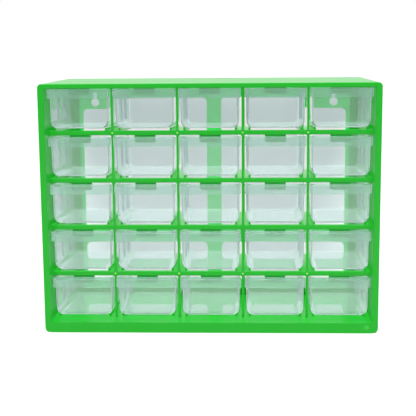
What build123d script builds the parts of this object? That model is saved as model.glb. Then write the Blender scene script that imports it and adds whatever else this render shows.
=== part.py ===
from build123d import *
import math
import os

# Compartment storage box: a green moulded cabinet with a grid of clear pull-out drawers.
# Millimetres, +Z up, the drawers open towards -Y, the origin is the middle of the underside.
# Rows are counted from the top and columns from the left, as seen from the front.

# Cabinet outline and walls
HOUSING_WIDTH = 375.0
HOUSING_HEIGHT = 280.0
HOUSING_DEPTH = 160.0
SIDE_RIM = 7.0              # side wall at the front edge
SIDE_WALL = 2.0             # the same wall at the rear
TOP_RIM = 5.0               # top wall at the front edge
TOP_WALL = 2.5              # the same wall at the rear
SILL_HEIGHT = 12.0          # underside to the floor that the bottom row stands on
FLOOR_THICKNESS = 2.5
SKIRT_THICKNESS = 2.5       # walls round the hollows under the floor
BACK_THICKNESS = 2.5
REAR_CORNER_RADIUS = 12.0
TOP_EDGE_RADIUS = 4.5
BASE_EDGE_RADIUS = 3.0
REAR_RETURN_LAND = 4.0      # flat run of the shell behind each rounded rear corner

# Front grid
COLUMNS = 5
ROWS = 5
RECESS_DEPTH = 23.0         # rim to the front of the grid
GRID_DEPTH = 5.0
UPRIGHT_THICKNESS = 2.4
BAR_HEIGHT = 4.9
CELL_FALL = 8.4             # a cell's floor is lower by this at the back panel than at the grid

# Stop tongues, one at the top of each cell, just behind the drawer's front wall
TONGUE_WIDTH = 23.5
TONGUE_LENGTH = 8.5
TONGUE_THICKNESS = 2.0
TONGUE_BEVEL = 1.5
TONGUE_CLEARANCE = 0.4

# Drawers
DRAWER_SIDE_GAP = 2.4       # body to the upright, at the top
DRAWER_LIFT = 2.4           # cell floor to the underside of the drawer
DRAWER_TOP_GAP = 2.2        # leaves room under the top's rim for the rise of a drawer that is pulled
DRAWER_REAR_CLEARANCE = 1.6
DRAWER_WALL = 1.4
DRAWER_FLOOR = 1.6
DRAWER_CORNER_RADIUS = 8.0
DRAWER_DRAFT = 0.8          # degrees that the side walls lean out
LIP_SIDE_GAP = 0.85         # end of the pull lip to the upright
LIP_REACH = 9.0
LIP_DROP = 10.3
LIP_BEVEL = 1.5             # lower corners of the lip
DIVIDER_STATIONS = 2
DIVIDER_SLOT = 1.6
RIB_WIDTH = 1.2
RIB_DEPTH = 1.0
RIB_TOP_GAP = 7.0

# Runners: a ledge with an upturned rail at each side, which carries a drawer's rounded lower corner
RUNNER_REACH = 8.8          # middle of the upright to the outer side of a rail
LEDGE_THICKNESS = 1.8
RAIL_WIDTH = 2.2
RUNNER_CLEARANCE = 0.3

# Back panel
POST_WIDTH = 3.0
POST_DEPTH = 3.0
WINDOW_SIDE_MARGIN = 25.5   # outside of the cabinet to a window, at the front's width
CENTRE_STRIP_WIDTH = 18.0
TOP_BAND_HEIGHT = 21.0
REAR_SILL_HEIGHT = 12.0
CROSS_BAND_LEVEL = 60.0     # floor to the underside of the rear cross band
CROSS_BAND_HEIGHT = 16.0
WINDOW_RADIUS = 6.0
PATCH_WIDTH = 53.0          # keyhole patch, from the window's outer side
PATCH_DROP = 14.0           # keyhole patch below the top band
KEYHOLE_RADIUS = 5.0
KEYHOLE_SLOT_RADIUS = 2.5
KEYHOLE_RISE = 10.0
KEYHOLE_INSET = 15.0        # from the window's outer side
KEYHOLE_DROP = 27.0         # from the underside of the top

CUT_OVERRUN = 5.0

# Places that follow from the sizes above
front_y = -HOUSING_DEPTH / 2
rear_y = HOUSING_DEPTH / 2
outer_half = HOUSING_WIDTH / 2
clear_half = outer_half - SIDE_RIM
clear_top = HOUSING_HEIGHT - TOP_RIM
back_inner_y = rear_y - BACK_THICKNESS
rear_inner_radius = REAR_CORNER_RADIUS - SIDE_WALL
rear_bend_y = back_inner_y - rear_inner_radius
panel_half = clear_half - rear_inner_radius - REAR_RETURN_LAND

grid_front_y = front_y + RECESS_DEPTH
grid_rear_y = grid_front_y + GRID_DEPTH
column_pitch = (2 * clear_half + UPRIGHT_THICKNESS) / COLUMNS
row_pitch = (clear_top - SILL_HEIGHT + BAR_HEIGHT) / ROWS
cell_half = (column_pitch - UPRIGHT_THICKNESS) / 2
cell_height = row_pitch - BAR_HEIGHT
column_centres = [(column - (COLUMNS - 1) / 2) * column_pitch for column in range(COLUMNS)]
upright_lines = [centre + column_pitch / 2 for centre in column_centres[:-1]]
row_floors = [SILL_HEIGHT + (ROWS - 1 - row) * row_pitch for row in range(ROWS)]
cell_slope = CELL_FALL / (back_inner_y - grid_rear_y)

drawer_height = cell_height - DRAWER_LIFT - DRAWER_TOP_GAP
drawer_lean = math.tan(math.radians(DRAWER_DRAFT))
drawer_top_half = cell_half - DRAWER_SIDE_GAP
drawer_base_half = drawer_top_half - drawer_height * drawer_lean
bend_reach = max(rear_inner_radius - DRAWER_SIDE_GAP, 0)
bend_run = math.sqrt(rear_inner_radius ** 2 - bend_reach ** 2)
drawer_front_y = grid_front_y
drawer_rear_y = rear_bend_y + bend_run - DRAWER_REAR_CLEARANCE
tongue_front_y = drawer_front_y + DRAWER_WALL + TONGUE_CLEARANCE

post_front_y = back_inner_y - POST_DEPTH
window_half = outer_half - WINDOW_SIDE_MARGIN


def block(low, high):
    """Block between its lowest and highest corners."""
    size = [top - bottom for bottom, top in zip(low, high)]
    return Pos(*low) * Box(*size, align=(Align.MIN, Align.MIN, Align.MIN))


def drop_at(y):
    """How far a cell's floor has fallen at a place behind the grid; before the grid it has risen."""
    return (y - grid_rear_y) * cell_slope


def section_along_y(points, start_y, end_y, rounded=(), radius=0, slope=0):
    """Outline of (x, z) points carried along Y, with the listed corners rounded, falling by the slope."""
    face = Face(Wire.make_polygon([(x, start_y, z) for x, z in points], close=True))
    if rounded:
        corners = [points[index] for index in rounded]
        chosen = [v for v in face.vertices() if nearest_corner(v, points) in corners]
        face = face.fillet_2d(radius, chosen)
    run = end_y - start_y
    return Solid.extrude(face, (0, run, -run * slope))


def section_along_x(points, half):
    """Outline of (y, z) points carried along X, from -half to half."""
    face = Face(Wire.make_polygon([(-half, y, z) for y, z in points], close=True))
    return Solid.extrude(face, (2 * half, 0, 0))


def falling_section(points, floor, start_y, end_y, rounded=(), radius=0):
    """Outline of (x, z) points above a cell's floor, carried back along the floor's fall."""
    level = floor - drop_at(start_y)
    lowered = [(x, level + z) for x, z in points]
    return section_along_y(lowered, start_y, end_y, rounded, radius, cell_slope)


def nearest_corner(vertex, points):
    """Outline point that a face's vertex stands on."""
    return min(points, key=lambda point: math.hypot(vertex.X - point[0], vertex.Z - point[1]))


def rounded_plan(front_half, rear_half, start_y, end_y, radius):
    """Plan with square front corners and rounded rear corners."""
    outline = [(-front_half, start_y), (front_half, start_y), (rear_half, end_y), (-rear_half, end_y)]
    face = Face(Wire.make_polygon(outline, close=True))
    return face.fillet_2d(radius, face.vertices().group_by(Axis.Y)[-1])


def make_envelope():
    """Outside of the cabinet, drawn in towards the back and rounded along its long edges."""
    taper = SIDE_RIM - SIDE_WALL
    fall = (TOP_RIM - TOP_WALL) / HOUSING_DEPTH
    plan = rounded_plan(outer_half, outer_half - taper, front_y, rear_y, REAR_CORNER_RADIUS)
    body = extrude(plan, amount=HOUSING_HEIGHT, dir=(0, 0, 1))
    start_y = front_y - CUT_OVERRUN
    end_y = rear_y + CUT_OVERRUN
    above = HOUSING_HEIGHT + CUT_OVERRUN
    slope = [
        (start_y, HOUSING_HEIGHT + CUT_OVERRUN * fall),
        (end_y, HOUSING_HEIGHT - (HOUSING_DEPTH + CUT_OVERRUN) * fall),
        (end_y, above),
        (start_y, above),
    ]
    body -= section_along_x(slope, outer_half + CUT_OVERRUN)
    top_edges = body.faces().sort_by(Axis.Z)[-1].edges().sort_by(Axis.Y)[1:]
    body = fillet(top_edges, TOP_EDGE_RADIUS)
    bottom_edges = body.faces().sort_by(Axis.Z)[0].edges().sort_by(Axis.Y)[1:]
    return fillet(bottom_edges, BASE_EDGE_RADIUS)


def make_cavity(low_z, high_z):
    """Space inside the walls, with its rounded rear corners and the opening for the back panel."""
    plan = rounded_plan(clear_half, clear_half, front_y, back_inner_y, rear_inner_radius)
    inside = Pos(0, 0, low_z) * extrude(plan, amount=high_z - low_z, dir=(0, 0, 1))
    return inside + block((-panel_half, rear_bend_y, low_z), (panel_half, rear_y, high_z))


def make_outer_shell():
    """Two sides and the top in one piece, with the thick rim at the front."""
    rim_cut = block((-clear_half, front_y - CUT_OVERRUN, -CUT_OVERRUN), (clear_half, rear_bend_y, clear_top))
    rear_cut = block((-panel_half, rear_bend_y, -CUT_OVERRUN), (panel_half, rear_y + CUT_OVERRUN, clear_top))
    return make_envelope() - make_cavity(-CUT_OVERRUN, clear_top) - rim_cut - rear_cut


def space_above_fall(level):
    """Space over a floor that is level up to the grid's rear and falls from there to the back panel."""
    above = level + CUT_OVERRUN
    fallen = level - CELL_FALL
    outline = [(grid_rear_y, level), (back_inner_y, fallen), (back_inner_y, above), (grid_rear_y, above)]
    return section_along_x(outline, clear_half + CUT_OVERRUN)


def make_base_pan():
    """Level sill and falling floor, hollow underneath with a rib below each upright line."""
    pan = make_cavity(0, SILL_HEIGHT) & make_envelope()
    pan -= space_above_fall(SILL_HEIGHT)
    depth = SILL_HEIGHT - FLOOR_THICKNESS
    plan = rounded_plan(
        clear_half - SKIRT_THICKNESS,
        clear_half - SKIRT_THICKNESS,
        front_y + SKIRT_THICKNESS,
        back_inner_y - SKIRT_THICKNESS,
        rear_inner_radius,
    )
    hollow = extrude(plan, amount=depth, dir=(0, 0, 1))
    half_rib = SKIRT_THICKNESS / 2
    for line in upright_lines:
        hollow -= block((line - half_rib, front_y, 0), (line + half_rib, rear_y, depth))
    return pan - (hollow - space_above_fall(depth))


def make_cross_bar(row):
    """Bar under one row, across the whole cabinet."""
    top = row_floors[row]
    return block((-clear_half, grid_front_y, top - BAR_HEIGHT), (clear_half, grid_rear_y, top))


def make_upright(line):
    """Upright between two columns, one length for each row."""
    half = UPRIGHT_THICKNESS / 2
    lengths = []
    for floor in row_floors:
        low = (line - half, grid_front_y, floor)
        high = (line + half, grid_rear_y, floor + cell_height)
        lengths.append(block(low, high))
    return lengths


def make_stop_tongues(row):
    """Tongues that hang at the top of each cell of a row, with bevelled lower corners."""
    top = row_floors[row] + cell_height
    low = top - TONGUE_LENGTH
    half = TONGUE_WIDTH / 2
    tip_half = half - TONGUE_BEVEL
    bevel_z = low + TONGUE_BEVEL
    outline = [(-half, top), (-half, bevel_z), (-tip_half, low), (tip_half, low), (half, bevel_z), (half, top)]
    tongue = section_along_y(outline, tongue_front_y, tongue_front_y + TONGUE_THICKNESS)
    return [Pos(centre, 0, 0) * tongue for centre in column_centres]


def rail_height():
    """Height of a rail above its ledge, just clear of the drawer's rounded lower corner."""
    lean = math.radians(DRAWER_DRAFT)
    swing = DRAWER_CORNER_RADIUS * (1 - math.sin(lean)) / math.cos(lean)
    beside = column_pitch / 2 - RUNNER_REACH - (drawer_base_half - swing)
    distance = DRAWER_CORNER_RADIUS + RUNNER_CLEARANCE
    return DRAWER_LIFT + DRAWER_CORNER_RADIUS - math.sqrt(distance ** 2 - beside ** 2)


def make_rail(x, floor, side, end_y):
    """One rail by itself, with its outer side at x, on the floor that the bottom row stands on."""
    near = x - side * RAIL_WIDTH
    rail = rail_height()
    return falling_section([(x, 0), (x, rail), (near, rail), (near, 0)], floor, grid_rear_y, end_y)


def make_double_runner(line, floor):
    """Ledge behind an upright, with a rail at each side and a web below."""
    outer = RUNNER_REACH
    inner = outer - RAIL_WIDTH
    rail = rail_height()
    web = UPRIGHT_THICKNESS / 2
    half_outline = [
        (web, -BAR_HEIGHT),
        (web, -LEDGE_THICKNESS),
        (outer, -LEDGE_THICKNESS),
        (outer, rail),
        (inner, rail),
        (inner, 0),
    ]
    outline = [(line + x, z) for x, z in half_outline] + [(line - x, z) for x, z in half_outline[::-1]]
    return falling_section(outline, floor, grid_rear_y, post_front_y)


def make_side_runner(side, floor):
    """Ledge on a side wall, with a rail at its free side."""
    wall = side * clear_half
    outer = side * (clear_half + UPRIGHT_THICKNESS / 2 - RUNNER_REACH)
    inner = outer + side * RAIL_WIDTH
    rail = rail_height()
    below = -LEDGE_THICKNESS
    outline = [(wall, below), (outer, below), (outer, rail), (inner, rail), (inner, 0), (wall, 0)]
    return falling_section(outline, floor, grid_rear_y, rear_bend_y)


def make_runners(row):
    """Runners of one row; those of the bottom row are rails on the cabinet's own floor."""
    floor = row_floors[row]
    if row < ROWS - 1:
        doubles = [make_double_runner(line, floor) for line in upright_lines]
        return [make_side_runner(-1, floor), *doubles, make_side_runner(1, floor)]
    side_x = clear_half + UPRIGHT_THICKNESS / 2 - RUNNER_REACH
    rails = [make_rail(side * side_x, floor, -side, rear_bend_y) for side in (-1, 1)]
    for line in upright_lines:
        rails += [make_rail(line + side * RUNNER_REACH, floor, side, post_front_y) for side in (-1, 1)]
    return rails


def make_rear_posts():
    """Slim posts in front of the back panel that hold the runners' rear ends."""
    outline = [
        (post_front_y, SILL_HEIGHT - drop_at(post_front_y)),
        (back_inner_y, SILL_HEIGHT - CELL_FALL),
        (back_inner_y, clear_top),
        (post_front_y, clear_top),
    ]
    post = section_along_x(outline, POST_WIDTH / 2)
    return [Pos(line, 0, 0) * post for line in upright_lines]


def make_keyhole(side):
    """Hanging hole: a round entry with a narrow slot above it."""
    x = side * (window_half - KEYHOLE_INSET)
    z = clear_top - KEYHOLE_DROP
    length = BACK_THICKNESS + 2 * CUT_OVERRUN
    start_y = back_inner_y - CUT_OVERRUN
    end_y = start_y + length
    turned = Rot(-90, 0, 0)
    anchored = (Align.CENTER, Align.CENTER, Align.MIN)
    entry = Pos(x, start_y, z) * turned * Cylinder(KEYHOLE_RADIUS, length, align=anchored)
    crown = Pos(x, start_y, z + KEYHOLE_RISE) * turned * Cylinder(KEYHOLE_SLOT_RADIUS, length, align=anchored)
    slot_low = (x - KEYHOLE_SLOT_RADIUS, start_y, z)
    slot_high = (x + KEYHOLE_SLOT_RADIUS, end_y, z + KEYHOLE_RISE)
    return entry + crown + block(slot_low, slot_high)


def make_window(side, outline):
    """Opening through the back panel, with all its corners rounded."""
    points = [(side * x, z) for x, z in outline]
    start_y = back_inner_y - CUT_OVERRUN
    return section_along_y(points, start_y, rear_y + CUT_OVERRUN, range(len(points)), WINDOW_RADIUS)


def make_back_panel():
    """Back panel with two high and two low windows and a keyhole in each upper corner."""
    panel = block((-panel_half, back_inner_y, SILL_HEIGHT), (panel_half, rear_y, clear_top))
    near = CENTRE_STRIP_WIDTH / 2
    band_low = SILL_HEIGHT + CROSS_BAND_LEVEL
    band_high = band_low + CROSS_BAND_HEIGHT
    window_top = clear_top - TOP_BAND_HEIGHT
    patch_x = window_half - PATCH_WIDTH
    patch_z = window_top - PATCH_DROP
    upper = [
        (near, band_high),
        (window_half, band_high),
        (window_half, patch_z),
        (patch_x, patch_z),
        (patch_x, window_top),
        (near, window_top),
    ]
    sill = SILL_HEIGHT + REAR_SILL_HEIGHT
    lower = [(near, sill), (window_half, sill), (window_half, band_low), (near, band_low)]
    for side in (-1, 1):
        panel -= make_window(side, upper)
        panel -= make_window(side, lower)
        panel -= make_keyhole(side)
    return panel


def make_pull_lip(top):
    """Channel along the top of a drawer's front, open below for the fingers."""
    half = cell_half - LIP_SIDE_GAP
    low = top - LIP_DROP
    lip_front_y = drawer_front_y - LIP_REACH
    tip_half = half - LIP_BEVEL
    bevel_z = low + LIP_BEVEL
    outline = [(-half, top), (-half, bevel_z), (-tip_half, low), (tip_half, low), (half, bevel_z), (half, top)]
    lip = section_along_y(outline, lip_front_y, drawer_front_y)
    inside_low = (DRAWER_WALL - half, lip_front_y + DRAWER_WALL, low)
    inside_high = (half - DRAWER_WALL, drawer_front_y, top - DRAWER_WALL)
    return lip - block(inside_low, inside_high)


def make_divider_ribs(low, top):
    """Pairs of ribs down both side walls, which take loose dividers."""
    inside = drawer_rear_y - drawer_front_y - 2 * DRAWER_WALL
    wall_x = drawer_base_half - DRAWER_WALL
    ribs = []
    for station in range(1, DIVIDER_STATIONS + 1):
        middle = drawer_front_y + DRAWER_WALL + inside * station / (DIVIDER_STATIONS + 1)
        for step in (-1, 1):
            start = middle + step * DIVIDER_SLOT / 2 - (RIB_WIDTH if step < 0 else 0)
            for side in (-1, 1):
                near, far = sorted((side * (wall_x - RIB_DEPTH), side * (wall_x + DRAWER_WALL / 2)))
                outline = [(near, low), (far, low), (far, top), (near, top)]
                ribs.append(falling_section(outline, 0, start, start + RIB_WIDTH))
    return ribs


def make_drawer():
    """One clear drawer, at the middle of the grid's width with its cell floor at zero."""
    low = DRAWER_LIFT
    top = low + drawer_height
    floor = low + DRAWER_FLOOR
    inner_base = drawer_base_half + DRAWER_FLOOR * drawer_lean - DRAWER_WALL
    inner_top = drawer_top_half - DRAWER_WALL
    outline = [
        (-drawer_base_half, low),
        (drawer_base_half, low),
        (drawer_top_half, top),
        (-drawer_top_half, top),
    ]
    over = CUT_OVERRUN * drawer_lean
    inside = [
        (-inner_base, floor),
        (inner_base, floor),
        (inner_top + over, top + CUT_OVERRUN),
        (-inner_top - over, top + CUT_OVERRUN),
    ]
    inner_radius = DRAWER_CORNER_RADIUS - DRAWER_WALL
    inside_front_y = drawer_front_y + DRAWER_WALL
    inside_rear_y = drawer_rear_y - DRAWER_WALL
    tray = falling_section(outline, 0, drawer_front_y, drawer_rear_y, (0, 1), DRAWER_CORNER_RADIUS)
    tray -= falling_section(inside, 0, inside_front_y, inside_rear_y, (0, 1), inner_radius)
    for rib in make_divider_ribs(floor + inner_radius, top - RIB_TOP_GAP):
        tray += rib
    return tray + make_pull_lip(top - drop_at(drawer_front_y))


def save(name, solids):
    """Write one node, a single piece or a group of like pieces."""
    shape = Compound(children=list(solids)) if isinstance(solids, list) else solids
    export_step(shape, os.path.join("parts", name + ".step"))


os.makedirs("parts", exist_ok=True)

save("outer_shell", make_outer_shell())
save("base_pan", make_base_pan())
save("back_panel", make_back_panel())
save("rear_posts", make_rear_posts())
for number, line in enumerate(upright_lines, 1):
    save(f"upright_{number}", make_upright(line))
for row in range(ROWS):
    save(f"runners_row_{row + 1}", make_runners(row))
    save(f"stop_tongues_row_{row + 1}", make_stop_tongues(row))
    if row < ROWS - 1:
        save(f"cross_bar_{row + 1}", make_cross_bar(row))

drawer = make_drawer()
for row, floor in enumerate(row_floors, 1):
    for column, centre in enumerate(column_centres, 1):
        save(f"drawer_r{row}c{column}", Pos(centre, 0, floor) * drawer)
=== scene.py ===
"""Dress the compartment storage box: a green moulded cabinet with clear pull-out drawers."""

import logging
import math
from collections.abc import Callable, Iterable, Mapping, Sequence
from dataclasses import dataclass
from enum import Enum
from typing import Any

import bmesh
import bpy
from mathutils import Matrix, Vector


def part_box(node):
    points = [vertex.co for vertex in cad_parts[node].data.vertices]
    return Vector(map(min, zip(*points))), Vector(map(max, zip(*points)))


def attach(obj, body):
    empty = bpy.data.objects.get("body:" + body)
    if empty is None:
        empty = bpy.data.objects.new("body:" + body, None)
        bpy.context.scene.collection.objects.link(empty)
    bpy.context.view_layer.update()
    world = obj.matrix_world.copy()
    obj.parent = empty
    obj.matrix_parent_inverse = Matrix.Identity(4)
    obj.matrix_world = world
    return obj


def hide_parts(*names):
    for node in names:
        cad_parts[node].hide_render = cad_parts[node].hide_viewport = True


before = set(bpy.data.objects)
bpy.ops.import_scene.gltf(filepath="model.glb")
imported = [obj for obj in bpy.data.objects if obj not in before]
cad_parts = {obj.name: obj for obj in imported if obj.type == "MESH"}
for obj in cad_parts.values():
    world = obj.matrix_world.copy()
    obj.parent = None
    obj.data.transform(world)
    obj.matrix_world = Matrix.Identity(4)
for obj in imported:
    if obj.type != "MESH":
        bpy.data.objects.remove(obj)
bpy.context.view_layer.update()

HOUSING = "housing"
MERGE_GAP = 2e-6
WELD_GAP = 1e-6
NEAR = 1e-5
FLAT_ANGLE = math.radians(0.4)
Triple = tuple[float, float, float]
Values = Mapping[str | int, Any] | None
log = logging.getLogger("storage_box")


class Plastic(Enum):
    """Names of the two plastics."""

    GREEN = "green_plastic"
    CLEAR = "clear_plastic"


class Signal:
    """A node's output that takes part in sums written as plain Python."""

    def __init__(self, bench: "NodeBench", socket: bpy.types.NodeSocket) -> None:
        """Keep the output and the bench that its sums are added to."""
        self.bench = bench
        self.socket = socket

    def _sum(self, operation: str, first: Any, second: Any) -> "Signal":
        """Result of one Math node on two signals or numbers."""
        return self.bench.out("ShaderNodeMath", {"operation": operation}, {0: first, 1: second})

    def __add__(self, other: Any) -> "Signal":
        """Sum."""
        return self._sum("ADD", self, other)

    def __radd__(self, other: Any) -> "Signal":
        """Sum with a number on the left."""
        return self._sum("ADD", other, self)

    def __sub__(self, other: Any) -> "Signal":
        """Difference."""
        return self._sum("SUBTRACT", self, other)

    def __rsub__(self, other: Any) -> "Signal":
        """Difference from a number on the left."""
        return self._sum("SUBTRACT", other, self)

    def __mul__(self, other: Any) -> "Signal":
        """Product."""
        return self._sum("MULTIPLY", self, other)

    def __rmul__(self, other: Any) -> "Signal":
        """Product with a number on the left."""
        return self._sum("MULTIPLY", other, self)

    def __gt__(self, other: Any) -> "Signal":
        """One where this is the greater, zero elsewhere."""
        return self._sum("GREATER_THAN", self, other)

    def __lt__(self, other: Any) -> "Signal":
        """One where this is the smaller, zero elsewhere."""
        return self._sum("LESS_THAN", self, other)

    def __abs__(self) -> "Signal":
        """Size without its sign."""
        return self._sum("ABSOLUTE", self, 0.0)


@dataclass
class NodeBench:
    """Adds nodes to one shader or geometry tree."""

    tree: bpy.types.NodeTree

    def node(self, kind: str, settings: Values = None, sockets: Values = None) -> bpy.types.Node:
        """Add a node, set it up and feed its sockets.

        Args:
            kind: The node's type.
            settings: Attributes to set, with "stops" for a ramp's (place, colour) pairs
                and "choices" for a switch's count.
            sockets: Signals to link or values to set, by socket name or number.

        Returns:
            The new node.
        """
        made = self.tree.nodes.new(kind)
        for name, value in (settings or {}).items():
            if name == "stops":
                self._set_stops(made.color_ramp, value)
            elif name == "choices":
                for _ in range(value - len(made.index_switch_items)):
                    made.index_switch_items.new()
            else:
                setattr(made, name, value)
        for key, value in (sockets or {}).items():
            if isinstance(value, Signal):
                self.tree.links.new(value.socket, made.inputs[key])
            else:
                made.inputs[key].default_value = value
        return made

    def out(
        self, kind: str, settings: Values = None, sockets: Values = None, output: str | int = 0
    ) -> Signal:
        """Add a node as above and give the output that has this name or number."""
        return Signal(self, self.node(kind, settings, sockets).outputs[output])

    @staticmethod
    def _set_stops(ramp: bpy.types.ColorRamp, stops: Sequence[tuple[float, Sequence[float]]]) -> None:
        """Give a ramp its stops, from low to high.

        Args:
            ramp: The ramp, which starts with two stops.
            stops: Place and colour of each stop.
        """
        for _ in range(len(stops) - len(ramp.elements)):
            ramp.elements.new(1.0)
        for element, (place, colour) in zip(ramp.elements, stops):
            element.position = place
            element.color = colour

    def place_on_piece(self) -> Signal:
        """Place on the piece, in metres."""
        return self.out("ShaderNodeTexCoord", output="Object")

    def axes(self, vector: Signal) -> list[Signal]:
        """The three parts of a vector."""
        split = self.node("ShaderNodeSeparateXYZ", {}, {0: vector})
        return [Signal(self, output) for output in split.outputs]

    def noise(
        self, coords: Signal, scale: float, detail: float = 2.0, stretch: Sequence[float] = ()
    ) -> Signal:
        """Soft noise over the surface.

        Args:
            coords: Place on the surface, in metres.
            scale: Waves per metre.
            detail: Number of finer layers.
            stretch: Scale along each axis before the noise is read.

        Returns:
            Noise around a half.
        """
        if stretch:
            coords = self.out("ShaderNodeMapping", {}, {"Vector": coords, "Scale": tuple(stretch)})
        return self.out("ShaderNodeTexNoise", {}, {"Vector": coords, "Scale": scale, "Detail": detail})

    def bump(self, height: Signal, strength: float, depth: float) -> Signal:
        """Normal of a surface with small hills, where a height of one is the depth in metres."""
        sockets = {"Strength": strength, "Distance": depth, "Height": height}
        return self.out("ShaderNodeBump", {}, sockets)

    def blend(
        self, share: Signal, low: Signal | Sequence[float], high: Signal | Sequence[float]
    ) -> Signal:
        """Colour between two linear colours, the low one at a share of zero and the high one at one."""
        first, second = (end if isinstance(end, Signal) else (*end, 1.0) for end in (low, high))
        return self.out("ShaderNodeMix", {"data_type": "RGBA"}, {0: share, 6: first, 7: second}, 2)

    def plastic(self, sockets: Values) -> Signal:
        """Surface of a plastic with these sockets."""
        return self.out("ShaderNodeBsdfPrincipled", {}, sockets)


@dataclass(frozen=True)
class Finish:
    """A finish that is made once and put on many pieces."""

    name: str

    def make(self) -> bpy.types.Material:
        """Give the material, making it the first time.

        Returns:
            The material.
        """
        made = bpy.data.materials.get(self.name)
        if made is None:
            made = bpy.data.materials.new(self.name)
            made.use_nodes = True
            made.node_tree.nodes.clear()
            bench = NodeBench(made.node_tree)
            surface = self.shade(bench)
            bench.node("ShaderNodeOutputMaterial", {}, {"Surface": surface})
        return made

    def shade(self, bench: NodeBench) -> Signal:
        """Build the finish's shader; each finish has its own."""
        raise NotImplementedError


@dataclass(frozen=True)
class GreenMoulding(Finish):
    """Bright green gloss plastic with faint flow marks and a fine moulded grain."""

    name: str = "green_moulding"
    deep: Triple = (0.0045, 0.28, 0.010)
    bright: Triple = (0.007, 0.325, 0.015)
    roughness: float = 0.27
    roughness_spread: float = 0.08
    specular: float = 0.12
    coat: float = 0.3
    coat_roughness: float = 0.12
    flow_waves: float = 11.0
    flow_detail: float = 3.0
    flow_stretch: Triple = (1.0, 1.0, 0.35)
    sheen_waves: float = 66.0
    grain_waves: float = 950.0
    grain_share: float = 0.25
    grain_height: float = 0.35
    bump_strength: float = 0.12
    bump_depth: float = 0.0006

    def shade(self, bench: NodeBench) -> Signal:
        """Build the shader.

        Args:
            bench: Tree to build in.

        Returns:
            The surface.
        """
        coords = bench.place_on_piece()
        flow = bench.noise(coords, self.flow_waves, self.flow_detail, self.flow_stretch)
        grain = bench.noise(coords, self.grain_waves)
        sheen = bench.noise(coords, self.sheen_waves)
        mottle = flow * (1 - self.grain_share) + grain * self.grain_share
        return bench.plastic({
            "Base Color": bench.blend(mottle, self.deep, self.bright),
            "Roughness": self.roughness + flow * self.roughness_spread + grain * self.roughness_spread,
            "Normal": bench.bump(grain * self.grain_height + sheen, self.bump_strength, self.bump_depth),
            "Specular IOR Level": self.specular,
            "Coat Weight": self.coat,
            "Coat Roughness": self.coat_roughness,
        })


@dataclass(frozen=True)
class GateScar(Finish):
    """Pale stressed plastic where the moulding was cut from its feed."""

    name: str = "gate_scar"
    rim: Triple = (0.10, 0.42, 0.06)
    core: Triple = (0.36, 0.62, 0.20)
    contrast: float = 1.6
    rim_share: float = 0.3
    roughness: float = 0.45
    roughness_spread: float = 0.2
    torn_waves: float = 1800.0
    torn_detail: float = 3.0
    bump_strength: float = 0.5
    bump_depth: float = 0.0002

    def shade(self, bench: NodeBench) -> Signal:
        """Build the shader.

        Args:
            bench: Tree to build in.

        Returns:
            The surface.
        """
        torn = bench.noise(bench.place_on_piece(), self.torn_waves, self.torn_detail)
        return bench.plastic({
            "Base Color": bench.blend(torn * self.contrast - self.rim_share, self.rim, self.core),
            "Roughness": self.roughness + torn * self.roughness_spread,
            "Normal": bench.bump(torn, self.bump_strength, self.bump_depth),
        })


@dataclass(frozen=True)
class ClearMoulding(Finish):
    """Clear, slightly cool plastic with a faint bloom, a denser lip, milky edges and light rubbing."""

    name: str = "clear_moulding"
    tint: Triple = (0.74, 0.80, 0.80)
    pale: Triple = (0.78, 0.83, 0.83)
    lip_tint: Triple = (0.70, 0.84, 0.77)
    roughness: float = 0.025
    cloud_roughness: float = 0.025
    rub_roughness: float = 0.03
    refraction: float = 1.28
    coat: float = 0.8
    coat_roughness: float = 0.05
    milk: Triple = (0.54, 0.70, 0.66)
    pale_milk: Triple = (0.60, 0.75, 0.72)
    lip_milk: Triple = (0.30, 0.51, 0.42)
    milk_roughness: float = 0.4
    milk_roughness_spread: float = 0.2
    bloom: float = 0.024
    cloud_bloom: float = 0.032
    edge_bloom: float = 0.27
    lip_bloom: float = 0.09
    lip_y: float = -0.0572
    cloud_waves: float = 26.0
    rub_waves: float = 420.0
    rub_detail: float = 4.0
    rub_stretch: Triple = (1.0, 1.0, 0.25)
    ripple_waves: float = 60.0
    ripple_detail: float = 1.0
    ripple_stretch: Triple = (1.0, 1.0, 0.5)
    bump_strength: float = 0.10
    bump_depth: float = 0.0008

    def shade(self, bench: NodeBench) -> Signal:
        """Build the shader.

        Args:
            bench: Tree to build in.

        Returns:
            The surface.
        """
        coords = bench.place_on_piece()
        depth = bench.axes(coords)[1]
        lip = depth < self.lip_y
        cloud = bench.noise(coords, self.cloud_waves)
        rub = bench.noise(coords, self.rub_waves, self.rub_detail, self.rub_stretch)
        ripple = bench.noise(coords, self.ripple_waves, self.ripple_detail, self.ripple_stretch)
        normal = bench.bump(ripple, self.bump_strength, self.bump_depth)
        clear = bench.plastic({
            "Base Color": bench.blend(lip, bench.blend(cloud, self.tint, self.pale), self.lip_tint),
            "Roughness": self.roughness + cloud * self.cloud_roughness + rub * self.rub_roughness,
            "Normal": normal,
            "IOR": self.refraction,
            "Transmission Weight": 1.0,
            "Coat Weight": self.coat,
            "Coat Roughness": self.coat_roughness,
        })
        milky = bench.plastic({
            "Base Color": bench.blend(lip, bench.blend(cloud, self.milk, self.pale_milk), self.lip_milk),
            "Roughness": self.milk_roughness + rub * self.milk_roughness_spread,
            "Normal": normal,
        })
        slant = bench.out("ShaderNodeLayerWeight", {}, {"Blend": 0.5}, "Facing")
        edge = slant * slant * slant
        share = self.bloom + cloud * self.cloud_bloom + edge * self.edge_bloom + lip * self.lip_bloom
        return bench.out("ShaderNodeMixShader", {}, {0: share, 1: clear, 2: milky})


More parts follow.
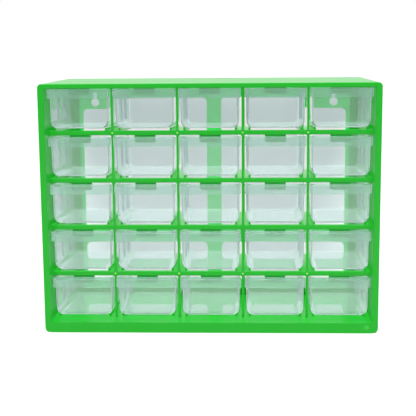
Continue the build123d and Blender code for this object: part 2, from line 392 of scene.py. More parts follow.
@dataclass(frozen=True)
class StudioFloor(Finish):
    """White matt studio floor with painted shade: darker far in front of the object, with a soft painted
    shadow behind it.
    """

    name: str = "studio_floor"
    shade_colour: Triple = (0.58, 0.58, 0.58)
    paper_colour: Triple = (0.62, 0.62, 0.62)
    # Painted shade: the colour of the floor far in front of the object, and of the painted shadow behind
    # it.
    far_painted_shade_colour: Triple = (0.27, 0.27, 0.27)
    painted_shadow_colour: Triple = (0.36, 0.36, 0.36)
    roughness: float = 0.9
    roughness_spread: float = 0.1
    fibre_waves: float = 40.0
    fibre_detail: float = 3.0
    dim_y: float = -2.8
    lit_y: float = -0.4
    shadow_half: float = 0.08
    shadow_spread: float = 0.143
    shadow_drift: float = 0.034
    shadow_blur: float = 0.09
    shadow_end: float = 5.4

    def shade(self, bench: NodeBench) -> Signal:
        """Build the shader.

        Args:
            bench: Tree to build in.

        Returns:
            The surface.
        """
        coords = bench.place_on_piece()
        fibre = bench.noise(coords, self.fibre_waves, self.fibre_detail)
        across, depth, _ = bench.axes(coords)
        # Painted shade, which darkens the floor far in front of the object.
        lit = self._fade(bench, depth, self.dim_y, self.lit_y)
        # Painted shadow: a soft wedge behind the object that widens with depth and fades far away.
        aside = abs(across + depth * self.shadow_drift) - depth * self.shadow_spread
        behind = self._fade(bench, aside, self.shadow_half + self.shadow_blur, self.shadow_half)
        behind = behind * (depth > 0.0) * self._fade(bench, depth, self.shadow_end, self.shadow_end / 2)
        paper = bench.blend(fibre, self.shade_colour, self.paper_colour)
        paper = bench.blend(behind, paper, self.painted_shadow_colour)
        return bench.plastic({
            "Base Color": bench.blend(lit, self.far_painted_shade_colour, paper),
            "Roughness": self.roughness + fibre * self.roughness_spread,
        })

    @staticmethod
    def _fade(bench: NodeBench, value: Signal, none: float, full: float) -> Signal:
        """Soft step from zero, where the value is none, to one, where it is full."""
        reach = {"Value": value, "From Min": none, "From Max": full}
        return bench.out("ShaderNodeMapRange", {"interpolation_type": "SMOOTHSTEP"}, reach)


class GrownMesh:
    """A geometry tree with named sizes that is grown once into a plain mesh."""

    def __init__(self, name: str) -> None:
        """Start a tree that has only its output.

        Args:
            name: The tree's name.
        """
        self.tree = bpy.data.node_groups.new(name, "GeometryNodeTree")
        self.tree.interface.new_socket("Geometry", in_out="OUTPUT", socket_type="NodeSocketGeometry")
        self.bench = NodeBench(self.tree)
        self.sizes = self.bench.node("NodeGroupInput")
        self.values: dict[str, Any] = {}

    def size(self, name: str, value: float, kind: str = "NodeSocketFloat") -> Signal:
        """Add a named input.

        Args:
            name: What the input is called.
            value: Its value for this piece.
            kind: Its socket type.

        Returns:
            The input as a signal.
        """
        socket = self.tree.interface.new_socket(name, in_out="INPUT", socket_type=kind)
        self.values[socket.identifier] = value
        return Signal(self.bench, self.sizes.outputs[name])

    def point(self, x: Any = 0.0, y: Any = 0.0, z: Any = 0.0) -> Signal:
        """Vector from three numbers or signals."""
        return self.bench.out("ShaderNodeCombineXYZ", {}, {0: x, 1: y, 2: z})

    def choose(self, data_type: str, choices: Sequence[Any]) -> Signal:
        """Value by a point's number along its curve.

        Args:
            data_type: Kind of value.
            choices: Signals or values, one for each point.

        Returns:
            The value that belongs to each point.
        """
        index = self.bench.out("GeometryNodeInputIndex")
        settings = {"data_type": data_type, "choices": len(choices)}
        return self.bench.out("GeometryNodeIndexSwitch", settings, dict(enumerate([index, *choices])))

    def outline(
        self, half: Signal, low: Any, high: Signal, foot: Any, upper: Any, points: int = 5
    ) -> Signal:
        """Closed outline with four rounded corners.

        Args:
            half: Half its width.
            low: Level of its lower edge.
            high: Level of its upper edge.
            foot: Radius of the lower corners.
            upper: Radius of the upper corners.
            points: Number of points along each rounding.

        Returns:
            The outline as a curve.
        """
        left = 0.0 - half
        corners = [self.point(*spot) for spot in ((left, low), (half, low), (half, high), (left, high))]
        ring = self.bench.out("GeometryNodeCurvePrimitiveCircle", {}, {"Resolution": len(corners)})
        placed = {"Geometry": ring, "Position": self.choose("VECTOR", corners)}
        curve = self.bench.out("GeometryNodeSetPosition", {}, placed)
        radius = self.choose("FLOAT", [foot, foot, upper, upper])
        rounding = {"Curve": curve, "Count": points, "Radius": radius, "Limit Radius": True}
        return self.bench.out("GeometryNodeFilletCurve", {"mode": "POLY"}, rounding)

    def plate(self, curves: Signal, depth: Signal) -> Signal:
        """Solid plate from closed outlines, towards +Z.

        Args:
            curves: Outer outline and holes.
            depth: The plate's thickness.

        Returns:
            The closed mesh.
        """
        base = self.bench.out("GeometryNodeFillCurve", {"mode": "NGONS"}, {"Curve": curves})
        raised = {"Mesh": base, "Offset": self.point(z=depth), "Individual": False}
        top = self.bench.out("GeometryNodeExtrudeMesh", {"mode": "FACES"}, raised)
        under = self.bench.out("GeometryNodeFlipFaces", {}, {"Mesh": base})
        both = self.join(top, under)
        return self.bench.out("GeometryNodeMergeByDistance", {}, {"Geometry": both, "Distance": WELD_GAP})

    def join(self, *parts: Signal) -> Signal:
        """Several geometries as one.

        Args:
            parts: The geometries.

        Returns:
            All of them.
        """
        joined = self.bench.node("GeometryNodeJoinGeometry")
        for part in parts:
            self.tree.links.new(part.socket, joined.inputs[0])
        return Signal(self.bench, joined.outputs[0])

    def copies(self, points: Signal, shape: Signal) -> Signal:
        """One copy of a shape on each point, made real."""
        placed = self.bench.out("GeometryNodeInstanceOnPoints", {}, {"Points": points, "Instance": shape})
        return self.bench.out("GeometryNodeRealizeInstances", {}, {"Geometry": placed})

    def move(self, geometry: Signal, offset: Sequence[float], turn: Triple = (0.0, 0.0, 0.0)) -> Signal:
        """Geometry turned and then moved."""
        sockets = {"Geometry": geometry, "Translation": offset, "Rotation": turn}
        return self.bench.out("GeometryNodeTransform", {}, sockets)

    def grow(self, shape: Signal, finish: Finish) -> bpy.types.Mesh:
        """Grow the tree into a plain mesh.

        Args:
            shape: What the tree gives out.
            finish: Finish of the mesh.

        Returns:
            The mesh, with no modifier left behind.
        """
        real = self.bench.out("GeometryNodeRealizeInstances", {}, {"Geometry": shape})
        sockets = {"Geometry": real, "Material": finish.make()}
        dressed = self.bench.out("GeometryNodeSetMaterial", {}, sockets)
        self.bench.node("NodeGroupOutput", {}, {"Geometry": dressed})
        host = add_object("growth_host", bpy.data.meshes.new("growth_host"))
        growth = host.modifiers.new("growth", "NODES")
        growth.node_group = self.tree
        for identifier, value in self.values.items():
            growth[identifier] = value
        mesh = bake(host)
        host.modifiers.remove(growth)
        bpy.data.objects.remove(host)
        return mesh


def add_object(name: str, data: bpy.types.ID) -> bpy.types.Object:
    """Put an object with this data into the scene.

    Args:
        name: The object's name.
        data: Its mesh, light or lens.

    Returns:
        The object.
    """
    made = bpy.data.objects.new(name, data)
    bpy.context.scene.collection.objects.link(made)
    return made


def bake(host: bpy.types.Object) -> bpy.types.Mesh:
    """Plain mesh of an object with its modifiers applied.

    Args:
        host: The object.

    Returns:
        A new mesh.
    """
    graph = bpy.context.evaluated_depsgraph_get()
    made = host.evaluated_get(graph)
    return bpy.data.meshes.new_from_object(made, preserve_all_data_layers=True, depsgraph=graph)


def copy_node(node: str) -> bmesh.types.BMesh:
    """Copy of a CAD node with its doubles merged and its flat faces joined.

    Args:
        node: The node's name.

    Returns:
        The copy, to be freed by the caller.
    """
    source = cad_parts[node].data
    work = bmesh.new()
    made = [work.verts.new(vertex.co) for vertex in source.vertices]
    for polygon in source.polygons:
        work.faces.new([made[index] for index in polygon.vertices])
    bmesh.ops.remove_doubles(work, verts=work.verts, dist=MERGE_GAP)
    bmesh.ops.dissolve_limit(work, angle_limit=FLAT_ANGLE, verts=work.verts, edges=work.edges)
    return work


def take_mesh(mesh: bpy.types.Mesh) -> bmesh.types.BMesh:
    """Turn a mesh into a shape to work on, and remove the mesh.

    Args:
        mesh: The mesh.

    Returns:
        The shape, to be freed by the caller.
    """
    work = bmesh.new()
    work.from_mesh(mesh)
    bpy.data.meshes.remove(mesh)
    return work


def cut_faces(
    work: bmesh.types.BMesh,
    faces: Iterable[bmesh.types.BMFace],
    spot: Sequence[float],
    heading: Sequence[float],
) -> list[bmesh.types.BMEdge]:
    """Cut faces along a plane.

    Args:
        work: The shape, which is changed.
        faces: The faces to cut.
        spot: A place on the plane.
        heading: The plane's normal.

    Returns:
        The edges along the cut.
    """
    parts = dict.fromkeys(part for face in faces for part in (face, *face.edges, *face.verts))
    made = bmesh.ops.bisect_plane(work, geom=list(parts), plane_co=spot, plane_no=heading, dist=WELD_GAP)
    return [part for part in made["geom_cut"] if isinstance(part, bmesh.types.BMEdge)]


@dataclass(frozen=True)
class EdgeRounding:
    """Small radius that a mould leaves on a free edge."""

    width: float
    segments: int = 2
    clamp: bool = True
    sharp_angle: float = math.radians(32)
    flat_share: float = math.cos(math.radians(4.5))

    def round_off(
        self, work: bmesh.types.BMesh, free: Callable[[Vector], bool] = lambda middle: True
    ) -> bpy.types.Mesh:
        """Round the free sharp edges of a shape.

        Args:
            work: The shape, which is freed here.
            free: Tells from an edge's middle if the edge is rounded.

        Returns:
            A plain mesh with smooth shading.
        """
        weight = work.edges.layers.float.new("bevel_weight_edge")
        for edge in work.edges:
            sharp = len(edge.link_faces) == 2 and edge.calc_face_angle(0.0) > self.sharp_angle
            middle = (edge.verts[0].co + edge.verts[1].co) / 2
            edge[weight] = float(sharp and free(middle))
            edge.smooth = not sharp or bool(edge[weight])
        mesh = bpy.data.meshes.new("rounded")
        work.to_mesh(mesh)
        work.free()
        host = add_object("rounding_host", mesh)
        bevel = host.modifiers.new("rounding", "BEVEL")
        bevel.limit_method = "WEIGHT"
        bevel.width = self.width
        bevel.segments = self.segments
        bevel.use_clamp_overlap = self.clamp
        rounded = bake(host)
        for polygon in rounded.polygons:
            polygon.use_smooth = max(abs(part) for part in polygon.normal) < self.flat_share
        bpy.data.objects.remove(host)
        return rounded


@dataclass(frozen=True)
class CellLayout:
    """Where the cells of the cabinet are, read from the frame."""

    columns: int
    rows: int
    half_width: float
    floor: float
    ceiling: float
    column_pitch: float
    row_pitch: float
    upright: float
    bar: float
    front_y: float
    rear_y: float

    @classmethod
    def from_frame(cls) -> "CellLayout":
        """Read the layout from the bars and uprights.

        Returns:
            The layout.
        """
        bars = [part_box(name) for name in sorted(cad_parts) if name.startswith("cross_bar")]
        uprights = [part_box(name) for name in sorted(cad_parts) if name.startswith("upright")]
        return cls(
            columns=len(uprights) + 1,
            rows=len(bars) + 1,
            half_width=bars[0][1].x,
            floor=uprights[0][0].z,
            ceiling=uprights[0][1].z,
            column_pitch=uprights[1][0].x - uprights[0][0].x,
            row_pitch=bars[0][0].z - bars[1][0].z,
            upright=uprights[0][1].x - uprights[0][0].x,
            bar=bars[0][1].z - bars[0][0].z,
            front_y=bars[0][0].y,
            rear_y=bars[0][1].y,
        )

    @property
    def cell_half(self) -> float:
        """Half a cell's clear width."""
        return (self.column_pitch - self.upright) / 2

    @property
    def cell_height(self) -> float:
        """A cell's clear height."""
        return self.row_pitch - self.bar

    @property
    def row_numbers(self) -> range:
        """Numbers of the rows, from 1 at the top."""
        return range(1, self.rows + 1)

    def holds(self, spot: Vector) -> bool:
        """Tell if a place is within the front's clear width and height."""
        in_width = abs(spot.x) < self.half_width + NEAR
        return in_width and self.floor - NEAR < spot.z < self.ceiling + NEAR

    def upright_lines(self) -> list[float]:
        """Middles of the uprights, from left to right."""
        return [(number - self.columns / 2) * self.column_pitch for number in range(1, self.columns)]


@dataclass
class MouldedPart:
    """Part of the box that builds its meshes, places them and dresses them."""

    cells: CellLayout
    finish: Finish = GreenMoulding()
    slot: Plastic = Plastic.GREEN

    def place(
        self,
        name: str,
        mesh: bpy.types.Mesh,
        nodes: Sequence[str] = (),
        body: str = HOUSING,
        finish: Finish | None = None,
    ) -> None:
        """Put a mesh into the scene as a piece of the object; its thin plastic lets light through.

        Args:
            name: The piece's name.
            mesh: Its mesh, with its place in the vertices.
            nodes: CAD nodes that it stands for.
            body: CAD body that it rides on.
            finish: What it is made of, where that isn't the part's own finish.
        """
        mesh.name = name
        piece = add_object(name, mesh)
        piece.visible_shadow = False
        self.dress(piece, finish or self.finish)
        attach(piece, body)
        if nodes:
            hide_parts(*nodes)
        log.info("%s: %d faces, rides on %s", name, len(mesh.polygons), body)

    @staticmethod
    def dress(piece: bpy.types.Object, finish: Finish) -> None:
        """Give a piece its finish."""
        piece.data.materials.clear()
        piece.data.materials.append(finish.make())


@dataclass
class CabinetShell(MouldedPart):
    """Sides, top, floor with its sill, back with its windows, and the slim rear posts."""

    # A brighter copy of the green: painted light that stands in for light shining through the thin back
    # wall.
    painted_backlight_finish: Finish = GreenMoulding("green_painted_backlight", (0.025, 0.58, 0.07), (0.035, 0.64, 0.09))
    rim_rounding: EdgeRounding = EdgeRounding(0.0009, 3)
    window_rounding: EdgeRounding = EdgeRounding(0.0004, 2)
    foot_radius: float = 0.0052
    rear_land: float = 0.004
    reach: float = 1e-4

    def build(self) -> None:
        """Make the walls, the floor pan and the back, and dress the posts."""
        self._build_walls()
        self._build_floor_pan()
        self._build_back()
        self.dress(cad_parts["rear_posts"], self.finish)
        log.info("rear_posts: dressed")

    def _build_walls(self) -> None:
        """Round the rim of the sides and the top, down to the sill."""
        low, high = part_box("outer_shell")
        work = copy_node("outer_shell")
        cut_faces(work, work.faces, (0, 0, self.cells.floor), (0, 0, 1))
        self._round_feet(work, low.y, high.x)

        def free(middle: Vector) -> bool:
            """Tell the rim's edges from those that meet the sill and the back."""
            inner = abs(abs(middle.x) - self.cells.half_width) < self.reach
            return middle.y <= low.y + self.reach and not (inner and middle.z < self.cells.floor)

        self.place("cabinet_walls", self.rim_rounding.round_off(work, free), ["outer_shell"])

    def _round_feet(self, work: bmesh.types.BMesh, front: float, half_width: float) -> None:
        """Give the front's lower corners their radius, which fades towards the rear.

        Args:
            work: The shell's shape, which is changed.
            front: Where the rim is, along Y.
            half_width: Half the width of the front.
        """
        radius = self.foot_radius
        inner = half_width - radius
        level, across = (0, 0, 1), (1, 0, 0)
        for spot, heading in (((0, 0, radius), level), ((inner, 0, 0), across), ((-inner, 0, 0), across)):
            faces = [face for face in work.faces if min(vertex.co.z for vertex in face.verts) < radius]
            cut_faces(work, faces, spot, heading)
        for vertex in work.verts:
            side = math.copysign(1.0, vertex.co.x)
            middle = Vector((side * inner, vertex.co.y, radius))
            arm = vertex.co - middle
            in_corner = vertex.co.y < front + self.reach and arm.x * side > 0 and arm.z < 0
            if in_corner and arm.length > radius:
                vertex.co = middle + arm.normalized() * radius

    def _build_floor_pan(self) -> None:
        """Round the sill's front edges and the ribs below the floor."""
        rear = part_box("base_pan")[1].y

        def free(middle: Vector) -> bool:
            """Tell the sill's long edges and the ribs' edges from those that meet the walls."""
            at_wall = abs(middle.x) > self.cells.half_width - self.reach
            return not at_wall and middle.y <= rear - self.rear_land

        mesh = self.window_rounding.round_off(copy_node("base_pan"), free)
        self.place("floor_pan", mesh, ["base_pan"])

    def _build_back(self) -> None:
        """Round the windows and the keyholes of the back."""
        low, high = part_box("back_panel")

        def free(middle: Vector) -> bool:
            """Tell the windows' and keyholes' edges from the panel's own outline."""
            inside_x = low.x + self.reach < middle.x < high.x - self.reach
            return inside_x and low.z + self.reach < middle.z < high.z - self.reach

        mesh = self.window_rounding.round_off(copy_node("back_panel"), free)
        # The back wears the brighter copy of the green, painted light for light shining through the thin
        # wall.
        self.place("rear_wall", mesh, ["back_panel"], finish=self.painted_backlight_finish)


@dataclass
class FrontGrid(MouldedPart):
    """Bars and uprights in one moulding, with small fillets in the cells' corners."""

    rounding: EdgeRounding = EdgeRounding(0.0005, 2)
    upper_radius: float = 0.002
    foot_radius: float = 0.0012
    border: float = 0.0015
    spill: float = 0.0006

    def build(self) -> None:
        """Grow the grid and round its front and rear edges."""
        cells = self.cells
        work = take_mesh(self._grow())
        bmesh.ops.remove_doubles(work, verts=work.verts, dist=MERGE_GAP)
        bmesh.ops.recalc_face_normals(work, faces=work.faces)

        def free(middle: Vector) -> bool:
            """Tell the cells' edges from the border that is buried in the walls."""
            at_face = min(abs(middle.y - cells.front_y), abs(middle.y - cells.rear_y)) < NEAR
            return at_face and cells.holds(middle)

        bars = [f"cross_bar_{number}" for number in range(1, cells.rows)]
        uprights = [f"upright_{number}" for number in range(1, cells.columns)]
        self.place("front_grid", self.rounding.round_off(work, free), [*bars, *uprights])

    def _grow(self) -> bpy.types.Mesh:
        """Grow the grid plate with its cells left out.

        Returns:
            The plate, at its place.
        """
        cells = self.cells
        tree = GrownMesh("front_grid_tree")
        half = tree.size("Cell half width", cells.cell_half)
        height = tree.size("Cell height", cells.cell_height)
        depth = tree.size("Depth", cells.rear_y - cells.front_y)
        spill = tree.size("Spill", self.spill)
        wall = tree.size("Half width", cells.half_width)
        span_x = tree.size("Columns span", cells.column_pitch * (cells.columns - 1))
        span_z = tree.size("Rows span", cells.row_pitch * (cells.rows - 1))
        foot = tree.size("Foot radius", self.foot_radius)
        upper = tree.size("Upper radius", self.upper_radius)
        hole = tree.outline(half, 0.0, height, foot, upper)
        grid = {"Size X": span_x, "Size Y": span_z, "Vertices X": cells.columns, "Vertices Y": cells.rows}
        spots = tree.bench.out("GeometryNodeMeshGrid", {}, grid)
        middle = cells.floor + cells.row_pitch * (cells.rows - 1) / 2
        holes = tree.copies(tree.move(spots, (0.0, middle, 0.0)), hole)
        holes = self._spill_over(tree, holes, wall, spill)
        frame_sizes = {
            "Width": 2 * (cells.half_width + self.border),
            "Height": cells.ceiling - cells.floor + 2 * self.border,
        }
        rim = tree.bench.out("GeometryNodeCurvePrimitiveQuadrilateral", {}, frame_sizes)
        rim = tree.move(rim, (0.0, (cells.ceiling + cells.floor) / 2, 0.0))
        plate = tree.plate(tree.join(rim, holes), depth)
        shape = tree.move(plate, (0.0, cells.rear_y, 0.0), (math.pi / 2, 0.0, 0.0))
        return tree.grow(shape, self.finish)

    def _spill_over(self, tree: GrownMesh, holes: Signal, wall: Signal, spill: Signal) -> Signal:
        """Carry the outermost holes a little into the walls.

        Args:
            tree: The grid's tree.
            holes: Outlines of the cells.
            wall: Half the clear width.
            spill: How far the holes go in.

        Returns:
            The outlines.
        """
        x, z, _ = tree.bench.axes(tree.bench.out("GeometryNodeInputPosition"))
        push_x = ((x > wall - NEAR) - (x < NEAR - wall)) * spill
        push_z = ((z > self.cells.ceiling - NEAR) - (z < self.cells.floor + NEAR)) * spill
        moved = {"Geometry": holes, "Offset": tree.point(push_x, push_z)}
        return tree.bench.out("GeometryNodeSetPosition", {}, moved)


@dataclass
class RunnerRows(MouldedPart):
    """Ledges with upturned rails behind the uprights and along the side walls, which fall to the back."""

    rounding: EdgeRounding = EdgeRounding(0.00035, 2)
    wall_gap: float = 1e-4
    middle_reach: float = 0.02

    def build(self) -> None:
        """Round the long edges of each row's runners."""
        limit_x = self.cells.half_width - self.wall_gap
        for row in self.cells.row_numbers:
            node = f"runners_row_{row}"
            low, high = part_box(node)
            middle_y = (low.y + high.y) / 2

            def free(middle: Vector, middle_y: float = middle_y) -> bool:
                """Tell the long edges from those at the ends and on the walls."""
                return abs(middle.y - middle_y) < self.middle_reach and abs(middle.x) < limit_x

            self.place(f"runners_{row}", self.rounding.round_off(copy_node(node), free), [node])


@dataclass
class StopTongues(MouldedPart):
    """Tongues that hang at the top of the cells and stop the drawers, in a darker copy of the green that
    is painted shade.
    """

    # A darker copy of the green: painted shade for tongues that hang in the shadow at the top of the
    # cells.
    finish: Finish = GreenMoulding("green_painted_shade", (0.003, 0.20, 0.014), (0.004, 0.23, 0.018))
    rounding: EdgeRounding = EdgeRounding(0.0004, 2)
    tip_radius: float = 0.0016
    sunk: float = 0.0006

    def build(self) -> None:
        """Grow the tongues of each row and round their edges."""
        for row in self.cells.row_numbers:
            node = f"stop_tongues_row_{row}"
            limit_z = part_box(node)[1].z - NEAR
            work = take_mesh(self._grow(node))
            mesh = self.rounding.round_off(work, lambda middle, limit_z=limit_z: middle.z < limit_z)
            self.place(f"tongues_{row}", mesh, [node])

    def _grow(self, node: str) -> bpy.types.Mesh:
        """Grow one row of tongues.

        Args:
            node: CAD node of the row.

        Returns:
            The tongues, at their place.
        """
        low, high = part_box(node)
        tree = GrownMesh(node + "_tree")
        pitch = self.cells.column_pitch
        width = high.x - low.x - pitch * (self.cells.columns - 1)
        half = tree.size("Half width", width / 2)
        length = tree.size("Length", high.z - low.z)
        thickness = tree.size("Thickness", high.y - low.y)
        sunk = tree.size("Sunk", self.sunk)
        tip = tree.size("Tip radius", self.tip_radius)
        count = tree.size("Columns", self.cells.columns, "NodeSocketInt")
        tongue = tree.plate(tree.outline(half, 0.0 - length, sunk, tip, 0.0), thickness)
        tongue = tree.move(tongue, (0.0, 0.0, 0.0), (math.pi / 2, 0.0, 0.0))
        start = (low.x + width / 2, high.y, high.z)
        row = {"Count": count, "Start Location": start, "Offset": (pitch, 0.0, 0.0)}
        spots = tree.bench.out("GeometryNodeMeshLine", {}, row)
        return tree.grow(tree.copies(spots, tongue), self.finish)


@dataclass
class MouldMarks(MouldedPart):
    """Small marks that the mould left: gate scars on the grid and a pin mark on the sill."""

    finish: Finish = GateScar()
    pin_finish: Finish = GreenMoulding("pin_mark", (0.02, 0.36, 0.03), (0.03, 0.40, 0.04), 0.29)
    scar_radius: float = 0.0011
    scar_rise: float = 0.00025
    pin_radius: float = 0.0028
    pin_rise: float = 0.00012
    pin_x: float = 0.1745
    pin_z: float = 0.0068
    segments: int = 16
    rings: int = 8

    def build(self) -> None:
        """Grow the scars of the first and the last bar, and the pin mark."""
        bars = [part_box("cross_bar_1"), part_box(f"cross_bar_{self.cells.rows - 1}")]
        levels = [(low.z + high.z) / 2 for low, high in bars]
        lines = self.cells.upright_lines()
        scars = [(line, self.cells.front_y, level) for level in levels for line in lines]
        self._mark("gate_scars", scars, self.scar_radius, self.scar_rise, self.finish)
        pins = [(self.pin_x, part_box("base_pan")[0].y, self.pin_z)]
        self._mark("pin_mark", pins, self.pin_radius, self.pin_rise, self.pin_finish)

    def _mark(
        self, name: str, spots: Sequence[Triple], radius: float, rise: float, finish: Finish
    ) -> None:
        """Grow low domes that stand on front faces, and place them.

        Args:
            name: Name of the piece.
            spots: Middles of the domes.
            radius: Their radius.
            rise: How far they stand proud.
            finish: What they are made of.
        """
        tree = GrownMesh(name + "_tree")
        wide = tree.size("Radius", radius)
        proud = tree.size("Rise", rise)
        ball = {"Segments": self.segments, "Rings": self.rings}
        dome = tree.bench.out("GeometryNodeMeshUVSphere", {}, ball)
        flat = {"Geometry": dome, "Scale": tree.point(wide, proud, wide)}
        dome = tree.bench.out("GeometryNodeTransform", {}, flat)
        settings = [{"Count": 1, "Position": spot} for spot in spots]
        points = [tree.bench.out("GeometryNodePoints", {}, setting) for setting in settings]
        copies = tree.copies(tree.join(*points), dome)
        smooth = tree.bench.out("GeometryNodeSetShadeSmooth", {}, {"Geometry": copies})
        self.place(name, tree.grow(smooth, finish), finish=finish)


@dataclass
class DrawerSet(MouldedPart):
    """Clear drawers, all from one mould, each on its own body."""

    finish: Finish = ClearMoulding()
    slot: Plastic = Plastic.CLEAR
    pattern: str = "drawer_r1c1"
    rounding: EdgeRounding = EdgeRounding(0.0003, 2, clamp=False)
    wall: float = 0.0014
    lip_drop: float = 0.0115
    front_radius: float = 0.0006
    front_segments: int = 3
    rear_radius: float = 0.005
    rear_segments: int = 6
    rim_cut: float = 0.0095
    rim_slope: float = 0.9
    sliver: float = 0.0002
    reach: float = 1e-4
    face_gap: float = 2e-5
    wall_angle: float = 1.0

    def build(self) -> None:
        """Make one drawer with rounded edges and put a copy into each cell."""
        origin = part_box(self.pattern)[0]
        work = copy_node(self.pattern)
        self._part_rim(work)
        self._round_walls(work)
        master = self.rounding.round_off(work)
        for row in self.cells.row_numbers:
            for column in range(1, self.cells.columns + 1):
                node = f"drawer_r{row}c{column}"
                mesh = master.copy()
                mesh.transform(Matrix.Translation(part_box(node)[0] - origin))
                self.place(f"clear_{node}", mesh, [node], node)

    def _part_rim(self, work: bmesh.types.BMesh) -> None:
        """Part the rim into angle pieces, so that none of its faces runs round the opening.

        Args:
            work: The drawer's shape, which is changed.
        """
        low, high = (
            Vector([end(vertex.co[axis] for vertex in work.verts) for axis in range(3)])
            for end in (min, max)
        )
        middle = low.lerp(high, 0.5)
        kept: set[bmesh.types.BMEdge] = set()

        def on_rim(face: bmesh.types.BMFace) -> bool:
            """Tell the rim's faces from all others."""
            return face.normal.z > self.rim_slope and face.calc_center_median().z > middle.z

        rear_cut = Vector((0, high.y - self.rim_cut, 0))
        for spot, heading in ((middle, (1, 0, 0)), (rear_cut, (0, 1, 0))):
            rim = [face for face in work.faces if on_rim(face)]
            kept.update(cut_faces(work, rim, spot, heading))
        inner = [edge for edge in work.edges if len(edge.link_faces) == 2 and edge not in kept]
        seams = [edge for edge in inner if all(on_rim(face) for face in edge.link_faces)]
        bmesh.ops.dissolve_edges(work, edges=seams, use_verts=True)
        bmesh.ops.remove_doubles(work, verts=work.verts, dist=self.sliver)

    def _round_walls(self, work: bmesh.types.BMesh) -> None:
        """Round the rear wall inside and out and the front wall's outer edge, below the lip.

        Args:
            work: The drawer's shape, which is changed.
        """
        rear = max(vertex.co.y for vertex in work.verts)
        at_rear = [vertex.co.z for vertex in work.verts if vertex.co.y > rear - self.reach]
        rear_top = max(at_rear) - self.reach
        lip_foot = max(vertex.co.z for vertex in work.verts) - self.lip_drop
        inner_radius = self.rear_radius - self.wall
        walls = [
            (rear, self.rear_radius, self.rear_segments, rear_top, math.inf),
            (rear - self.wall, inner_radius, self.rear_segments, rear_top, math.inf),
            (self.cells.front_y, self.front_radius, self.front_segments, math.inf, lip_foot),
        ]
        for plane, radius, segments, foot_limit, head_limit in walls:
            chosen = [edge for edge in work.edges if self._rounds(edge, plane, foot_limit, head_limit)]
            bmesh.ops.bevel(
                work, geom=chosen, offset=radius, offset_type="OFFSET", segments=segments, profile=0.5,
                affect="EDGES", clamp_overlap=True,
            )

    def _rounds(
        self, edge: bmesh.types.BMEdge, plane: float, foot_limit: float, head_limit: float
    ) -> bool:
        """Tell if an edge runs round a wall's face, other than along the wall's top.

        Args:
            edge: The edge.
            plane: Where the face is, along Y.
            foot_limit: Edges whose lower end is above this are left.
            head_limit: Edges whose upper end is above this are left.

        Returns:
            True for an edge to round.
        """
        foot, head = sorted(vertex.co.z for vertex in edge.verts)
        off_plane = any(abs(vertex.co.y - plane) > self.face_gap for vertex in edge.verts)
        if foot > foot_limit or head > head_limit or off_plane:
            return False
        return len(edge.link_faces) == 2 and edge.calc_face_angle(0.0) > self.wall_angle


@dataclass(frozen=True)
class SoftLamp:
    """A square soft lamp: where it hangs, its power in watts, its width and what it points at."""

    name: str
    spot: Triple
    power: float
    size: float = 1.0
    aim: Triple = (0.0, 0.0, 0.13)
    mirrored: bool = False

    def hang(self) -> None:
        """Hang the lamp; one that isn't mirrored lights the object and shows in no gloss."""
        light = bpy.data.lights.new(self.name, "AREA")
        light.size = self.size
        light.energy = self.power
        lamp = add_object(self.name, light)
        lamp.location = self.spot
        lamp.rotation_euler = (Vector(self.aim) - Vector(self.spot)).to_track_quat("-Z", "Y").to_euler()
        lamp.visible_glossy = self.mirrored
        lamp.visible_transmission = self.mirrored


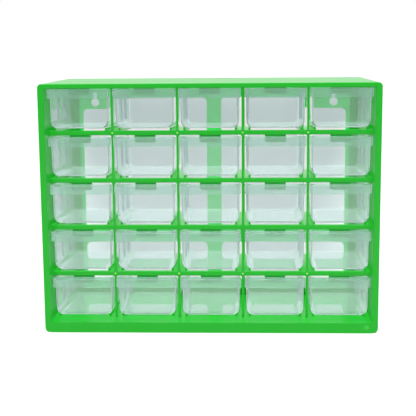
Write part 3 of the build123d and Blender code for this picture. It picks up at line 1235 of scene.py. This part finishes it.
@dataclass
class Studio:
    """White floor, soft light and the camera."""

    finish: Finish = StudioFloor()
    floor_half: float = 9.0
    glow: Sequence[tuple[float, float]] = ((0.0, 0.75), (0.35, 0.8), (0.6, 1.0))
    lamps: Sequence[SoftLamp] = (
        SoftLamp("front_fill", (0.0, -2.2, 0.45), 4.0),
        SoftLamp("left_fill", (-1.9, -0.9, 0.6), 30.0),
        SoftLamp("right_fill", (1.9, -0.9, 0.6), 30.0),
        SoftLamp("key_softbox", (-0.5, -1.7, 1.6), 4.0, 0.9, (0.0, 0.0, 0.12), True),
    )
    overhead_lean: float = math.radians(4)
    overhead_spread: float = math.radians(50)
    overhead_strength: float = 3.4
    camera_place: Triple = (0.0449, -1.2298, 0.3452)
    yaw: float = math.radians(-2.328)
    pitch: float = math.radians(-9.97)
    roll: float = math.radians(-0.462)
    focal_px: float = 1059.1
    image_px: float = 416.0
    sensor: float = 36.0

    def build(self) -> None:
        """Set up the floor, the surrounding light, the lamps and the camera."""
        self._lay_floor()
        self._surround()
        for lamp in self.lamps:
            lamp.hang()
        self._light_from_above()
        self._set_camera()
        bpy.context.scene.view_settings.view_transform = "Standard"

    def _lay_floor(self) -> None:
        """Lay the pale floor."""
        half = self.floor_half
        corners = [(-half, -half, 0), (half, -half, 0), (half, half, 0), (-half, half, 0)]
        mesh = bpy.data.meshes.new("studio_floor")
        mesh.from_pydata(corners, [], [(0, 1, 2, 3)])
        mesh.materials.append(self.finish.make())
        floor = add_object("studio_floor", mesh)
        floor.visible_diffuse = False

    def _surround(self) -> None:
        """Surround the object with white light that is dimmer behind the camera."""
        world = bpy.data.worlds.new("studio_light")
        world.use_nodes = True
        world.node_tree.nodes.clear()
        bench = NodeBench(world.node_tree)
        depth = bench.axes(bench.out("ShaderNodeTexCoord", output="Generated"))[1]
        stops = [(place, (level, level, level, 1.0)) for place, level in self.glow]
        glow = bench.out("ShaderNodeValToRGB", {"stops": stops}, {"Fac": depth * 0.5 + 0.5})
        light = bench.out("ShaderNodeBackground", {}, {"Color": glow})
        bench.node("ShaderNodeOutputWorld", {}, {"Surface": light})
        bpy.context.scene.world = world

    def _light_from_above(self) -> None:
        """Light the floor evenly from above."""
        light = bpy.data.lights.new("overhead_light", "SUN")
        light.angle = self.overhead_spread
        light.energy = self.overhead_strength
        lamp = add_object("overhead_light", light)
        lamp.rotation_euler = (self.overhead_lean, 0.0, 0.0)

    def _set_camera(self) -> None:
        """Put the camera where the picture was taken from."""
        lens = bpy.data.cameras.new("camera")
        lens.sensor_width = self.sensor
        lens.lens = self.sensor * self.focal_px / self.image_px
        camera = add_object("camera", lens)
        stand = Matrix.Translation(self.camera_place)
        for angle, axis in ((-self.yaw, "Z"), (math.pi / 2 + self.pitch, "X"), (self.roll, "Z")):
            stand = stand @ Matrix.Rotation(angle, 4, axis)
        camera.matrix_world = stand
        bpy.context.scene.camera = camera


def main() -> None:
    """Build the cabinet, its drawers and the studio."""
    logging.basicConfig(level=logging.INFO, format="%(message)s")
    cells = CellLayout.from_frame()
    CabinetShell(cells).build()
    FrontGrid(cells).build()
    RunnerRows(cells).build()
    StopTongues(cells).build()
    MouldMarks(cells).build()
    DrawerSet(cells).build()
    Studio().build()


if __name__ == "__main__":
    main()
